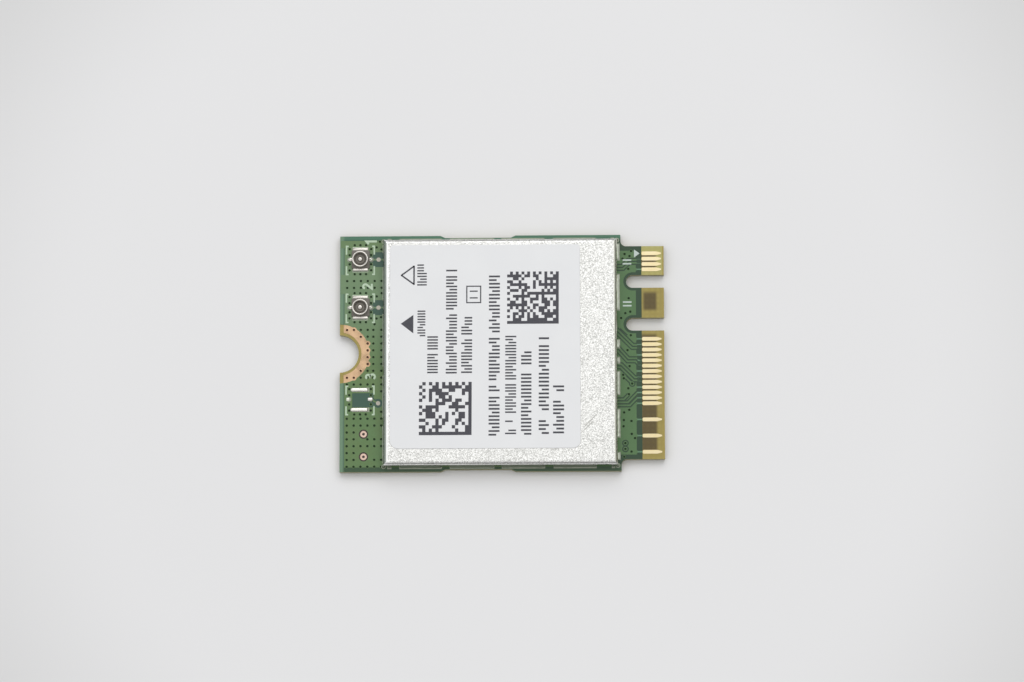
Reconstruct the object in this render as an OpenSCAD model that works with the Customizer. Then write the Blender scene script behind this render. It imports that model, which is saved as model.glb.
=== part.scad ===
// Wireless network card of the 22 x 30 mm plug-in form, with its parts on one side.
// X runs from the mounting end to the card edge, Y across the card, Z up.
// The origin is on the underside, below the middle of the board.

/* [Board] */
// Length of the card, mounting end to card edge
card_l = 30; // [30:0.5:32]
// Width of the card
card_w = 22; // [22:0.1:23]
// Thickness of the board at the bare tongue
board_t = 0.8; // [0.7:0.05:1]
// Length of the narrow tongue that enters the socket
tongue_l = 4; // [3.8:0.1:4.2]
// Width of the tongue
tongue_w = 19.85; // [19.6:0.05:20]
// Radius left by the router in the corners beside the tongue
shoulder_r = 0.5; // [0.2:0.1:0.8]
// Radius of the half-round notch for the screw and its standoff
notch_r = 1.75; // [1.5:0.05:1.8]
// Width of the two key notches
key_w = 1.2; // [1:0.05:1.2]
// Depth of the key notches, measured to their round ends
key_l = 3.5; // [3.2:0.1:3.6]
// Middle of the first key notch, across the card
key_a_y = 6.625; // [6.6:0.025:6.65]
// Middle of the second key notch, across the card
key_e_y = 2.625; // [2.6:0.025:2.65]
// Depth of the recesses where the panel tabs were broken off
tab_cut = 0.2; // [0.1:0.05:0.3]

/* [Layers] */
// Thickness of the solder mask film
mask_t = 0.03; // [0.02:0.01:0.04]
// Height that the copper under the film adds
pour_t = 0.02; // [0.01:0.01:0.03]
// Thickness of the bare copper and the gold contacts
foil_t = 0.035; // [0.03:0.005:0.045]
// Width of the border without copper along the board's edges
border_w = 0.42; // [0.3:0.02:0.6]
// Diameter of the stitching vias
via_d = 0.24; // [0.16:0.02:0.26]

/* [Edge contacts] */
// Width of one gold contact
contact_w = 0.35; // [0.28:0.01:0.38]
// Bare board between the contact tips and the card edge
contact_back = 0.25; // [0.15:0.05:0.4]
// Length of a gold contact
contact_l = 1.8; // [1.6:0.01:1.82]

/* [Shield can] */
// Length of the can
can_l = 21.6; // [21.2:0.1:21.8]
// Width of the can
can_w = 21; // [20.6:0.1:21.2]
// Height of the can's top above the board's films
can_h = 1.25; // [1.15:0.05:1.6]
// Thickness of the tinned sheet
can_t = 0.15; // [0.1:0.01:0.2]
// Outer radius of the folds
can_bend_r = 0.35; // [0.23:0.02:0.41]

/* [Label] */
// Length of the label along the card
label_l = 17.5; // [12:0.1:18]
// Width of the label across the card
label_w = 18.8; // [12:0.1:19]
// Corner radius of the label
label_r = 0.8; // [0.3:0.1:2]
// Thickness of the label film
label_t = 0.08; // [0.05:0.01:0.12]

/* [Antenna sockets] */
// Outer diameter of the contact ring
ring_d = 1.5; // [1.4:0.02:1.6]
// Wall of the contact ring
ring_wall = 0.17; // [0.16:0.01:0.2]
// Height of the ring's rim above the board's films
ring_h = 0.6; // [0.5:0.05:0.8]
// Diameter of the signal pin
pin_d = 0.42; // [0.3:0.02:0.5]

/* [Hidden] */

$fn = 48;
eps = 0.01;
cut = 1;

// Planes and edges that everything is set from
end_x = -card_l / 2;
lead_x = card_l / 2;
side_y = card_w / 2;
shoulder_x = lead_x - tongue_l;
deck_z = board_t + mask_t + pour_t;
// Bare tongue beyond the film, and the strip of film before it without copper
bare_l = 2.07;
pour_back = 2.59;
key_clear = 0.25;

// Break-off recesses in the two long edges
tab_x0 = -5.25;
tab_x1 = 0.85;
tab_ramp = 0.45;

// Half ring of bare copper round the screw notch
mount_pad_r0 = 2;
mount_pad_r1 = 2.75;
mount_pad_back = 0.35;
mount_lump_r = 0.26;

// Staggered contacts: odd numbers on top, even numbers below
first_contact_y = 9.25;
contact_step = 0.25;
tip_l = 0.43;
tip_w = 0.13;
inner_chamfer = 0.08;
// The contacts of the underside end this much farther from the card edge
under_short = 0.45;
top_contacts = concat([for (n = [1:2:7]) n], [for (n = [33:2:57]) n], [63, 69, 75]);
bottom_contacts = concat([2, 4, 6], [for (n = [16:2:22]) n], [for (n = [32:2:74]) n]);

// Grid of stitching vias at the mounting end; its fifth column is nearer the notch beside it,
// and its rows between the two sockets sit a little higher
via_pitch = 0.637;
via_x0 = end_x + 0.66;
via_columns = 6;
via_rows = 17;
near_column = 4;
near_shift = 0.11;
near_half = 3;
high_row = 9;
high_shift = 0.12;
// Fence of vias round each socket place: offsets of its side vias and of its end vias
fence_side = 1;
fence_side_y = [-1, -0.43, 0.43, 1];
fence_end = 1.36;
fence_end_x = [-0.53, 0, 0.53];

// Antenna sockets and the empty third place
socket_x = end_x + 1.88;
socket_y = [8.81, 4.31];
spare_y = -4.29;
feed_dot_d = 0.4;
feed_dot_h = 0.055;
feed_dots = [[end_x + 3.57, socket_y[0]], [end_x + 3.57, socket_y[1]], [end_x + 3.55, -4.62]];
// Window without copper round a feed line, and round the dots on it
feed_gap_x = 1.17;
feed_gap_w = 1.4;
feed_ring_d = 0.62;
spare_ring_d = 0.84;
test_pad_x = end_x + 2.21;
test_pad_y = [-7.49, -9.59];
test_pad_d = 0.6;
test_hole_d = 0.26;
test_clear_d = 0.86;
// Space that the vias keep from a socket, a feed line, a test pad and its buried line
socket_clear = [2.2, 1.75];
spare_clear = [1.45, 1.35];
feed_clear = 0.62;
pad_clear = 0.58;
test_line_y = [-7.3, -9.2];
line_clear = 0.3;
block_l = 1.75;
block_w = 1.65;
block_h = 0.2;
flange_z = 0.1;
flange_t = 0.07;
foot_l = 1.42;
foot_reach = 1.08;
lug_w = 0.3;
tail_reach = 1.05;
tail_t = 0.07;
socket_land_l = 1.5;
socket_land_y0 = 0.85;
socket_land_y1 = 1.17;
dot_d = 0.36;
dot_rim = 0.03;
dot_x = 1.03;
dot_h = 0.12;
foot_solder_h = 0.13;
// Empty third place: two bars, a dot at each side and a window without copper between them
spare_x = end_x + 1.95;
spare_bar = [1.6, 0.4];
spare_bar_y = 0.93;
spare_dots = [[-1.09, 0.04], [0.92, 0.04]];
spare_window = [[-0.79, -0.7], [1.19, 0.62]];
spare_solder_h = 0.09;

// Tracks in the film: their width, the bare gap beside them and the step between two of a pair
track_w = 0.15;
track_gap = 0.12;
pair_step = 0.28;
run_from = 10.6;
run_to = 12.9;
// Middle lines of the track pairs, from the can to their contacts
pair_runs = [
  [[run_from, 7.94], [11.2, 7.94], [11.75, 8.5], [run_to, 8.5]],
  [[10.5, 2.12], [12.07, 0.55], [run_to, 0.55]],
  [[run_from, 0.3], [10.75, 0.3], [11.65, -0.7], [12.4, -0.7], [12.68, -1], [run_to, -1]],
  [[run_from, -1.25], [11, -1.25], [12.22, -2.47], [run_to, -2.5]]
];
// Single tracks of the strip, and the one that leaves the empty socket place
single_runs = [
  [[run_from, -4.37], [11.25, -4.37], [11.71, -3.9]],
  [[run_from, -4.65], [11.62, -4.65], [12.5, -3.75], [run_to, -3.75]],
  [[run_from, -4.93], [11.8, -4.93], [12.5, -4.22], [run_to, -4.22]],
  [[11.4, -2.3], [12.02, -2.91]],
  [[spare_x + spare_dots[1][0], spare_y + spare_dots[1][1]], feed_dots[2]]
];
// Narrow gaps in the copper, and the ground contacts that a short stub joins to it
gap_runs = [[[10.95, 2.22], [11.6, 1.6]]];
stub_contacts = [7, 33, 39, 45, 51, 57, 63, 69, 75];
stub_w = 0.25;
// Vias with a ring of bare laminate round their land
ring_vias = [[12.02, -2.91], [11.36, -8.44], [11.36, -8.98]];
ring_vias_d = [0.4, 0.62];
// Stretches of the mounting end where the copper reaches almost to the edge
pour_reach = [[5.6, 7.4], [9.9, 10.58]];
pour_reach_gap = 0.08;

// Shield can
can_x = -0.13;
can_foot_h = 0.3;
seam_w = 0.05;
land_in = 0.08;
// Reach of the lands and of the solder outside the can; less solder wets the wall at -X
land_out = 0.25;
left_land_out = 0.13;
solder_w = 0.2;
left_solder_w = 0.1;
solder_h = 0.16;
fillet_steps = 4;
corner_dot_d = 0.38;
corner_dot_h = 0.22;
// Feet along each wall, as ranges along the wall in the card's own frame
feet_right = [[-10, -9.26], [-7.92, -5.25], [-3.98, -1.74], [-1.06, -0.42],
  [0.36, 1.22], [3.9, 7.34], [8.59, 10.2]];
feet_left = [[-10.2, -6.73], [-5.98, -2.06], [-1.22, 3.72], [4.98, 8.11], [9.41, 10.2]];
feet_long = [[-10.6, -10.21], [-9.48, -5.55], [-4.83, -0.71], [-0.03, 3.97],
  [4.75, 8.71], [10.1, 10.4]];

// Label on the can
label_x = -1.6;
label_y = 0.43;

// Radio chip, a flat moulded body on flat leads
chip_pos = [1.2, -0.6];
chip_s = 9;
chip_h = 0.85;
chip_leads_side = 19;
chip_lead_pitch = 0.4;
chip_lead_w = 0.2;
chip_lead_l = 0.5;
chip_pad_s = 5.6;
stand_off = 0.05;
// Pin-one marks: a shallow round dimple in a corner of a moulded body
mark_depth = 0.03;
chip_mark = [1, 0.6];
front_end_mark = [0.35, 0.3];

// Other parts under the can
crystal_pos = [7.6, -7.6];
crystal_size = [2.5, 2];
crystal_h = [0.4, 0.15];
crystal_r = 0.15;
crystal_rim = 0.15;
crystal_land_at = [0.8, 0.6];
crystal_land = [0.7, 0.6];
front_end_pos = [[-7.2, 7.2], [-7.2, 2.2]];
front_end_s = 2.5;
front_end_h = 0.6;
front_end_pad_s = 1.6;
filter_pos = [[-9.6, 7.9], [-9.6, 3.2]];
filter_size = [1, 1.6, 0.55];
filter_end_l = 0.4;
inductor_pos = [[7.4, 6.9], [7.4, 3.6]];
inductor_size = [2, 1.6, 0.9];
inductor_end_l = 0.45;
memory_pos = [-6.8, -7.2];
memory_size = [3, 2];
memory_h = 0.55;
memory_leads_side = 4;
memory_lead_pitch = 0.5;
memory_lead = [0.25, 0.4];
memory_pad = [1.5, 0.8];
// Chip capacitors: rows beside the radio chip, each as start, step and count
capacitor_size = [1, 0.5, 0.5];
capacitor_end_l = 0.25;
capacitor_rows = [[[-2.8, 5.2], [1.5, 0], 6], [[-2.8, -6.4], [1.5, 0], 6], [[-2.8, 7.4], [1.6, 0], 5]];
// Small chip resistors
resistor_size = [0.6, 0.3, 0.25];
resistor_end_l = 0.15;
resistor_rows = [[[-4.9, -3.6], [0, 0.9], 7], [[7.1, -3.6], [0, 0.9], 5], [[-2.8, -8.2], [1.2, 0], 6]];

// Height of contact n's middle across the card
function contact_y(n) = first_contact_y - contact_step * (n - 1);
function via_x(i) = via_x0 + via_pitch * i;
function via_y(k) = via_pitch * (k + 0.5);
function from_notch(p) = norm([p[0] - end_x, p[1]]);
function via_at(i, k) = [
  via_x(i) - (i == near_column && abs(via_y(k)) < near_half ? near_shift : 0),
  via_y(k) + (k >= high_row ? high_shift : 0)
];
// True where a via would meet a socket place, its feed line or a test pad
function near_place(p, y, clear) = abs(p[0] - socket_x) < clear[0] && abs(p[1] - y) < clear[1]
  || abs(p[1] - y) < feed_clear && p[0] > socket_x;
function near_test_pad(p) =
  min([for (y = test_pad_y) norm([p[0] - test_pad_x, p[1] - y])]) < pad_clear
  || min([for (y = test_line_y) abs(p[1] - y)]) < line_clear && p[0] > test_pad_x - pad_clear;
function is_via(p) = from_notch(p) > mount_pad_r0 + via_d
  && !near_place(p, socket_y[0], socket_clear) && !near_place(p, socket_y[1], socket_clear)
  && !near_place(p, spare_y, spare_clear) && !near_test_pad(p)
  && abs(p[1]) < side_y - border_w;
grid_vias = [for (i = [0:via_columns - 1], k = [-via_rows:via_rows - 1])
  let (p = via_at(i, k)) if (is_via(p)) p];
pad_vias = [for (p = grid_vias) if (from_notch(p) < mount_pad_r1) p];
function fence_sides(y) = [for (s = [-1, 1], dy = fence_side_y) [socket_x + s * fence_side, y + dy]];
function fence_row(y, s) = [for (dx = fence_end_x) [socket_x + dx, y + s * fence_end]];
fence_vias = concat(
  [for (y = socket_y) each concat(fence_sides(y), fence_row(y, 1), fence_row(y, -1))],
  fence_sides(spare_y), fence_row(spare_y, -1)
);
// Vias beside the feed lines
feed_vias = [[-11.61, 9.96], [-11.31, 10.49], [-11.16, 9.76], [-11.59, 5.36], [-11.14, 5.66],
  [-11.61, 3.29], [-11.19, 3.41], [-11.79, 2.76]];
// Vias of the strip between the can and the contacts
strip_vias = [[11.38, 9.19], [11.84, 9], [11.19, 8.76], [11.98, 9.47], [11.72, 7.8], [11.74, 5.05],
  [11.42, 3.66], [11.88, 3.8], [11.92, 1.59], [11.6, 0.2], [11.79, -1.29],
  [11.19, -2.09], [11.25, -2.42], [11.66, -3.35], [11.71, -3.9], [11.74, -5.35],
  [11.26, -5.59], [11.23, -6.3], [11.93, -6.39], [11.2, -6.88], [11.95, -7.59],
  [12.25, -7.98], [11.92, -9.23], [11.24, -9.7], [11.03, 3.2]];
mask_vias = concat(grid_vias, fence_vias, feed_vias, strip_vias, ring_vias);

// Direction from one point to the next, and the points of a run moved sideways, mitred at bends
function way(a, b) = (b - a) / norm(b - a);
function across(v) = [-v[1], v[0]];
function beside(p, s) = [for (i = [0:len(p) - 1])
  let (
    u = way(p[max(i - 1, 0)], p[max(i, 1)]),
    v = way(p[min(i, len(p) - 2)], p[min(i + 1, len(p) - 1)]),
    m = across(way([0, 0], u + v))
  ) p[i] + s * m / (m * across(v))];

// Rectangle with round corners, centred
module round_rect(l, w, r) {
  square([l, w - 2 * r], center = true);
  square([l - 2 * r, w], center = true);
  for (sx = [-1, 1], sy = [-1, 1]) {
    translate([sx * (l / 2 - r), sy * (w / 2 - r)]) circle(r = r);
  }
}

// Corner that the router takes off beside the tongue, with its round inner corner
module shoulder_cut() {
  depth = (card_w - tongue_w) / 2;
  difference() {
    translate([shoulder_x, side_y - depth]) square([tongue_l + cut, depth + cut]);
    difference() {
      translate([shoulder_x, side_y - depth]) square(shoulder_r);
      translate([shoulder_x + shoulder_r, side_y - depth + shoulder_r]) circle(r = shoulder_r);
    }
  }
}

// Key notch with a round end
module key_notch(y) {
  translate([lead_x - key_l + key_w / 2, y - key_w / 2]) square([key_l + cut, key_w]);
  translate([lead_x - key_l + key_w / 2, y]) circle(d = key_w);
}

// Shallow recess with sloped ends in the edge at +Y
module tab_recess() {
  polygon([
    [tab_x0 - tab_ramp, side_y + eps],
    [tab_x0, side_y - tab_cut],
    [tab_x1, side_y - tab_cut],
    [tab_x1 + tab_ramp, side_y + eps]
  ]);
}

module board_outline() {
  difference() {
    translate([end_x, -side_y]) square([card_l, card_w]);
    for (s = [0, 1]) {
      mirror([0, s]) shoulder_cut();
      mirror([0, s]) tab_recess();
    }
    key_notch(key_a_y);
    key_notch(key_e_y);
    translate([end_x, 0]) circle(r = notch_r);
  }
}

// Laminate, with a shallow pocket below for the underside's film and contacts
module circuit_board() {
  color("#9c8d4e") difference() {
    linear_extrude(board_t) board_outline();
    translate([0, 0, -cut]) linear_extrude(cut + foil_t) difference() {
      translate([end_x - cut, -side_y - cut]) square([card_l + cut - contact_back, card_w + 2 * cut]);
      translate([end_x, 0]) circle(r = mount_pad_r0);
    }
  }
}

module via_holes(points) {
  for (p = points) {
    translate(p) circle(d = via_d, $fn = 16);
  }
}

// Half ring of copper with round lumps where its outer vias stand
module mount_pad_plan() {
  difference() {
    intersection() {
      union() {
        translate([end_x, 0]) circle(r = mount_pad_r1);
        for (p = pad_vias) {
          translate(p) circle(r = mount_lump_r);
        }
      }
      translate([end_x + mount_pad_back, -mount_pad_r1 - cut]) square([card_l, 2 * (mount_pad_r1 + cut)]);
    }
    translate([end_x, 0]) circle(r = mount_pad_r0);
    via_holes(pad_vias);
  }
}

// Opening in the film: the pad, its holes and the bare laminate round it
module mount_opening() {
  intersection() {
    union() {
      translate([end_x, 0]) circle(r = mount_pad_r1);
      for (p = pad_vias) {
        translate(p) circle(r = mount_lump_r);
      }
    }
    translate([end_x - cut, -mount_pad_r1 - cut]) square([card_l, 2 * (mount_pad_r1 + cut)]);
  }
}

module mount_pad_top() {
  color("#dfb08d") translate([0, 0, board_t]) linear_extrude(foil_t) mount_pad_plan();
}

module mount_pad_bottom() {
  color("#dfb08d") linear_extrude(foil_t) mount_pad_plan();
}

// One gold contact of length l: chamfered at the film's edge, tapered at the tip
module contact_plan(n, l) {
  h = contact_w / 2;
  translate([lead_x - contact_back - contact_l, contact_y(n)]) polygon([
    [0, h - inner_chamfer],
    [inner_chamfer, h],
    [l - tip_l, h],
    [l, tip_w / 2],
    [l, -tip_w / 2],
    [l - tip_l, -h],
    [inner_chamfer, -h],
    [0, inner_chamfer - h]
  ]);
}

module edge_contacts_top() {
  color("#f7e3a4") for (n = top_contacts) {
    translate([0, 0, board_t]) linear_extrude(foil_t) contact_plan(n, contact_l);
  }
}

module edge_contacts_bottom() {
  color("#f7e3a4") for (n = bottom_contacts) {
    linear_extrude(foil_t) contact_plan(n, contact_l - under_short);
  }
}

// Board outline without the bare tongue end
module film_area() {
  intersection() {
    board_outline();
    translate([end_x - cut, -side_y - cut]) square([card_l + cut - bare_l, card_w + 2 * cut]);
  }
}

// Flat run of one width along points, mitred at its bends
module run(p, w) {
  left = beside(p, w / 2);
  right = beside(p, -w / 2);
  polygon(concat(left, [for (i = [len(p) - 1:-1:0]) right[i]]));
}

// Bare gaps round the tracks, the feed lines and the lands that stand alone
module pour_gaps() {
  for (p = pair_runs) {
    run(p, pair_step + track_w + 2 * track_gap);
  }
  for (p = single_runs) {
    run(p, track_w + 2 * track_gap);
  }
  for (p = gap_runs) {
    run(p, track_gap);
  }
  for (p = ring_vias) {
    translate(p) circle(d = ring_vias_d[1]);
  }
  for (y = socket_y) {
    translate([socket_x + feed_gap_x, y - feed_gap_w / 2]) square([can_x - can_l / 2 - socket_x, feed_gap_w]);
    translate([socket_x + dot_x, y]) circle(d = feed_ring_d);
  }
  translate(feed_dots[2]) circle(d = spare_ring_d);
  translate([spare_x, spare_y] + spare_window[0]) square(spare_window[1] - spare_window[0]);
}

// Copper that runs through those gaps
module tracks() {
  for (p = pair_runs, s = [-1, 1]) {
    run(beside(p, s * pair_step / 2), track_w);
  }
  for (p = single_runs) {
    run(p, track_w);
  }
  for (n = stub_contacts) {
    translate([lead_x - pour_back - eps, contact_y(n) - stub_w / 2]) square([pour_back, stub_w]);
  }
  for (p = ring_vias) {
    translate(p) circle(d = ring_vias_d[0]);
  }
  for (y = socket_y) {
    translate([socket_x + dot_x, y - track_w / 2]) square([can_x - can_l / 2 - socket_x, track_w]);
  }
}

// Copper pour under the film: clear of the border, the gaps, the notches and the test pads
module pour_area() {
  difference() {
    union() {
      translate([end_x + border_w, -side_y + border_w])
        square([card_l - pour_back - border_w, card_w - 2 * border_w]);
      for (r = pour_reach) {
        translate([end_x + pour_reach_gap, r[0]]) square([border_w, r[1] - r[0]]);
      }
    }
    pour_gaps();
    for (y = test_pad_y) {
      translate([test_pad_x, y]) circle(d = test_clear_d);
    }
    for (s = [0, 1]) {
      mirror([0, s]) translate([shoulder_x - border_w, tongue_w / 2 - border_w])
        square([tongue_l, border_w + card_w - tongue_w]);
    }
    for (y = [key_a_y, key_e_y]) {
      translate([lead_x - key_l + key_w / 2, y]) {
        circle(r = key_w / 2 + key_clear);
        translate([0, -key_w / 2 - key_clear]) square([key_l, key_w + 2 * key_clear]);
      }
    }
  }
  tracks();
}

// Lands of one antenna socket, round the origin
module socket_lands() {
  for (s = [-1, 1]) {
    translate([-socket_land_l / 2, s > 0 ? socket_land_y0 : -socket_land_y1])
      square([socket_land_l, socket_land_y1 - socket_land_y0]);
    translate([s * dot_x, 0]) circle(r = dot_d / 2 + dot_rim);
  }
}

// Lands of the empty socket place
module spare_lands() {
  for (s = [-1, 1]) {
    translate([0, s * spare_bar_y]) square(spare_bar, center = true);
  }
  for (p = spare_dots) {
    translate(p) circle(r = dot_d / 2 + dot_rim);
  }
}

// Land segment below one range of the can's wall, for the wall at +X
module wall_lands_x(feet, wall_x, out) {
  for (f = feet) {
    translate([wall_x - can_t - land_in, f[0]]) square([can_t + land_in + out, f[1] - f[0]]);
  }
}

module can_lands() {
  wall_lands_x(feet_right, can_x + can_l / 2, land_out);
  mirror([1, 0]) wall_lands_x(feet_left, can_l / 2 - can_x, left_land_out);
  for (s = [0, 1], f = feet_long) {
    mirror([0, s]) translate([f[0], can_w / 2 - can_t - land_in])
      square([f[1] - f[0], can_t + land_in + land_out]);
  }
  can_corners() circle(d = corner_dot_d + 2 * dot_rim);
}

module can_corners() {
  for (sx = [-1, 1], sy = [-1, 1]) {
    translate([can_x + sx * can_l / 2, sy * can_w / 2]) children();
  }
}

// Flat leads of a square or oblong body, as [middle, size] along its four sides
module lead_rows(size, count_x, count_y, pitch, w, l) {
  for (s = [-1, 1]) {
    for (i = [0:count_x - 1]) {
      translate([(i - (count_x - 1) / 2) * pitch, s * (size[1] - l) / 2]) square([w, l], center = true);
    }
    if (count_y > 0) {
      for (i = [0:count_y - 1]) {
        translate([s * (size[0] - l) / 2, (i - (count_y - 1) / 2) * pitch]) square([l, w], center = true);
      }
    }
  }
}

module chip_lead_plan() {
  translate(chip_pos) {
    lead_rows([chip_s, chip_s], chip_leads_side, chip_leads_side, chip_lead_pitch, chip_lead_w, chip_lead_l);
    square(chip_pad_s, center = true);
  }
}

module memory_lead_plan() {
  translate(memory_pos) {
    lead_rows(memory_size, memory_leads_side, 0, memory_lead_pitch, memory_lead[0], memory_lead[1]);
    square(memory_pad, center = true);
  }
}

// Two end lands of a small chip part
module end_pair(size, end_l) {
  for (s = [-1, 1]) {
    translate([s * (size[0] - end_l) / 2, 0]) square([end_l, size[1]], center = true);
  }
}

module at_rows(rows) {
  for (row = rows, i = [0:row[2] - 1]) {
    translate(row[0] + i * row[1]) children();
  }
}

module under_can_lands() {
  chip_lead_plan();
  memory_lead_plan();
  translate(crystal_pos) for (sx = [-1, 1], sy = [-1, 1]) {
    translate([sx * crystal_land_at[0], sy * crystal_land_at[1]]) square(crystal_land, center = true);
  }
  for (p = front_end_pos) {
    translate(p) square(front_end_pad_s, center = true);
  }
  for (p = filter_pos) {
    translate(p) rotate(90) end_pair([filter_size[1], filter_size[0]], filter_end_l);
  }
  for (p = inductor_pos) {
    translate(p) end_pair(inductor_size, inductor_end_l);
  }
  at_rows(capacitor_rows) end_pair(capacitor_size, capacitor_end_l);
  at_rows(resistor_rows) end_pair(resistor_size, resistor_end_l);
}

// All tinned lands on the component side
module land_plan() {
  can_lands();
  for (y = socket_y) {
    translate([socket_x, y]) socket_lands();
  }
  translate([spare_x, spare_y]) spare_lands();
  under_can_lands();
}

module component_lands() {
  color("#cfccc2") translate([0, 0, board_t]) linear_extrude(deck_z - board_t) land_plan();
}

module top_openings() {
  mount_opening();
  land_plan();
  via_holes(mask_vias);
  for (y = test_pad_y) {
    translate([test_pad_x, y]) circle(d = test_clear_d);
  }
  for (p = feed_dots) {
    translate(p) circle(d = feed_dot_d);
  }
}

module solder_mask_top() {
  color("#5f8a62") translate([0, 0, board_t]) difference() {
    union() {
      linear_extrude(mask_t) film_area();
      linear_extrude(mask_t + pour_t) intersection() {
        film_area();
        pour_area();
      }
    }
    translate([0, 0, -cut]) linear_extrude(3 * cut) top_openings();
  }
}

module solder_mask_bottom() {
  color("#5f8a62") linear_extrude(foil_t) difference() {
    film_area();
    mount_opening();
    via_holes(mask_vias);
  }
}

module test_pads() {
  color("#e8bfa4") for (y = test_pad_y) {
    translate([test_pad_x, y, board_t]) linear_extrude(foil_t) difference() {
      circle(d = test_pad_d);
      circle(d = test_hole_d);
    }
  }
}

module feed_test_points() {
  color("#d9d6cc") for (p = feed_dots) {
    translate([p[0], p[1], board_t]) cylinder(d = feed_dot_d, h = feed_dot_h);
  }
}

// Section of the can across one direction: flat top, two folds and two walls
module fold_profile(half, top, r) {
  translate([-half, 0]) square([2 * half, top - r]);
  translate([r - half, 0]) square([2 * (half - r), top]);
  for (s = [-1, 1]) {
    translate([s * (half - r), top - r]) circle(r = r);
  }
}

// Solid under a folded top, taken in by the given amount all round
module can_block(inset, top, r) {
  l = can_l - 2 * inset;
  w = can_w - 2 * inset;
  intersection() {
    translate([-l / 2, 0, 0]) rotate([90, 0, 90]) linear_extrude(l) fold_profile(w / 2, top, r);
    translate([0, w / 2, 0]) rotate([90, 0, 0]) linear_extrude(w) fold_profile(l / 2, top, r);
  }
}

// Gaps between the feet: the wall's whole lower band less its feet
module foot_gaps_x(feet, wall_x) {
  difference() {
    translate([wall_x - can_t - eps, -can_w / 2 + can_t, -cut])
      cube([can_t + cut, can_w - 2 * can_t, cut + can_foot_h]);
    for (f = feet) {
      translate([wall_x - can_t - cut, f[0], -2 * cut]) cube([3 * cut, f[1] - f[0], 4 * cut]);
    }
  }
}

module foot_gaps_y(feet) {
  difference() {
    translate([-can_l / 2 + can_t, can_w / 2 - can_t - eps, -cut])
      cube([can_l - 2 * can_t, can_t + cut, cut + can_foot_h]);
    for (f = feet) {
      translate([f[0] - can_x, can_w / 2 - can_t - cut, -2 * cut]) cube([f[1] - f[0], 3 * cut, 4 * cut]);
    }
  }
}

// Folded can: one sheet, with open seams at its corners and gaps between its feet
module shield_can() {
  color("#dcdad2") translate([can_x, 0, deck_z]) difference() {
    can_block(0, can_h, can_bend_r);
    translate([0, 0, -eps]) can_block(can_t, can_h - can_t + eps, can_bend_r - can_t);
    foot_gaps_x(feet_right, can_l / 2);
    mirror([1, 0, 0]) foot_gaps_x(feet_left, can_l / 2);
    for (s = [0, 1]) {
      mirror([0, s, 0]) foot_gaps_y(feet_long);
    }
    for (sx = [-1, 1], sy = [-1, 1]) {
      translate([sx * (can_l / 2 - can_t / 2), sy * (can_w / 2 - can_t - seam_w / 2), (can_h - can_bend_r) / 2 - cut / 2])
        cube([can_t + 2 * eps, seam_w, can_h - can_bend_r + cut], center = true);
    }
  }
}

// Hollow solder fillet against a wall that stands at y = 0, along X
function fillet_points(w, h) = [for (i = [0:fillet_steps])
  let (a = 90 * i / fillet_steps) [w * (1 - sin(a)), h * (1 - cos(a))]];

module solder_bead(l, w, h) {
  rotate([90, 0, 90]) linear_extrude(l) polygon(concat([[0, 0]], fillet_points(w, h)));
}

module can_bead(l, w = solder_w) {
  solder_bead(l, w, solder_h);
}

module shield_solder() {
  color("#d3d0c6") translate([0, 0, deck_z]) {
    for (f = feet_right) {
      translate([can_x + can_l / 2, f[1], 0]) rotate(-90) can_bead(f[1] - f[0]);
    }
    for (f = feet_left) {
      translate([can_x - can_l / 2, f[0], 0]) rotate(90) can_bead(f[1] - f[0], left_solder_w);
    }
    for (f = feet_long) {
      translate([f[0], can_w / 2, 0]) can_bead(f[1] - f[0]);
      translate([f[1], -can_w / 2, 0]) rotate(180) can_bead(f[1] - f[0]);
    }
    difference() {
      can_corners() solder_dot(corner_dot_d, corner_dot_h);
      translate([can_x - can_l / 2, -can_w / 2, -cut]) cube([can_l, can_w, 2 * cut]);
    }
  }
}

module shield_label() {
  color("#e4e5e8") translate([label_x, label_y, deck_z + can_h]) linear_extrude(label_t)
    round_rect(label_l, label_w, label_r);
}

// Ground contact of a socket: drawn ring, flange in the moulding, two feet and a lug
module socket_shell() {
  lug_reach = foot_reach - 0.1;
  difference() {
    union() {
      translate([0, 0, flange_z]) cylinder(d = ring_d, h = ring_h - flange_z);
      translate([-foot_l / 2, -block_w / 2, flange_z]) cube([foot_l, block_w, flange_t]);
      for (s = [0, 1]) {
        mirror([0, s, 0]) translate([-foot_l / 2, block_w / 2 - eps, 0])
          cube([foot_l, foot_reach - block_w / 2 + eps, flange_z + flange_t]);
      }
      translate([-lug_reach, -lug_w / 2, 0])
        cube([lug_reach - block_l / 2 + eps, lug_w, flange_z + flange_t]);
      translate([-block_l / 2, -lug_w / 2, flange_z]) cube([block_l / 2, lug_w, flange_t]);
    }
    translate([0, 0, -cut]) cylinder(d = ring_d - 2 * ring_wall, h = ring_h + 2 * cut);
  }
}

// Signal contact: round post on a flat tail
module socket_pin() {
  post_drop = 0.12;
  post_h = ring_h - post_drop;
  nose_r = 0.1;
  rotate_extrude() {
    difference() {
      square([pin_d / 2, post_h]);
      translate([pin_d / 2 - nose_r, post_h - nose_r]) difference() {
        square(nose_r + eps);
        circle(r = nose_r);
      }
    }
  }
  translate([0, -lug_w / 2, 0]) cube([tail_reach, lug_w, tail_t]);
}

// Moulding: square block with a low collar round the pin
module socket_insulator() {
  collar_d = 0.86;
  collar_h = 0.12;
  corner = 0.12;
  difference() {
    union() {
      linear_extrude(block_h) difference() {
        square([block_l, block_w], center = true);
        for (s = [-1, 1]) {
          translate([s * block_l / 2, block_w / 2]) rotate(45) square(corner, center = true);
        }
      }
      cylinder(d = collar_d, h = block_h + collar_h);
    }
    socket_shell();
    socket_pin();
  }
}

module at_socket(i) {
  translate([socket_x, socket_y[i], deck_z]) children();
}

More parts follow.
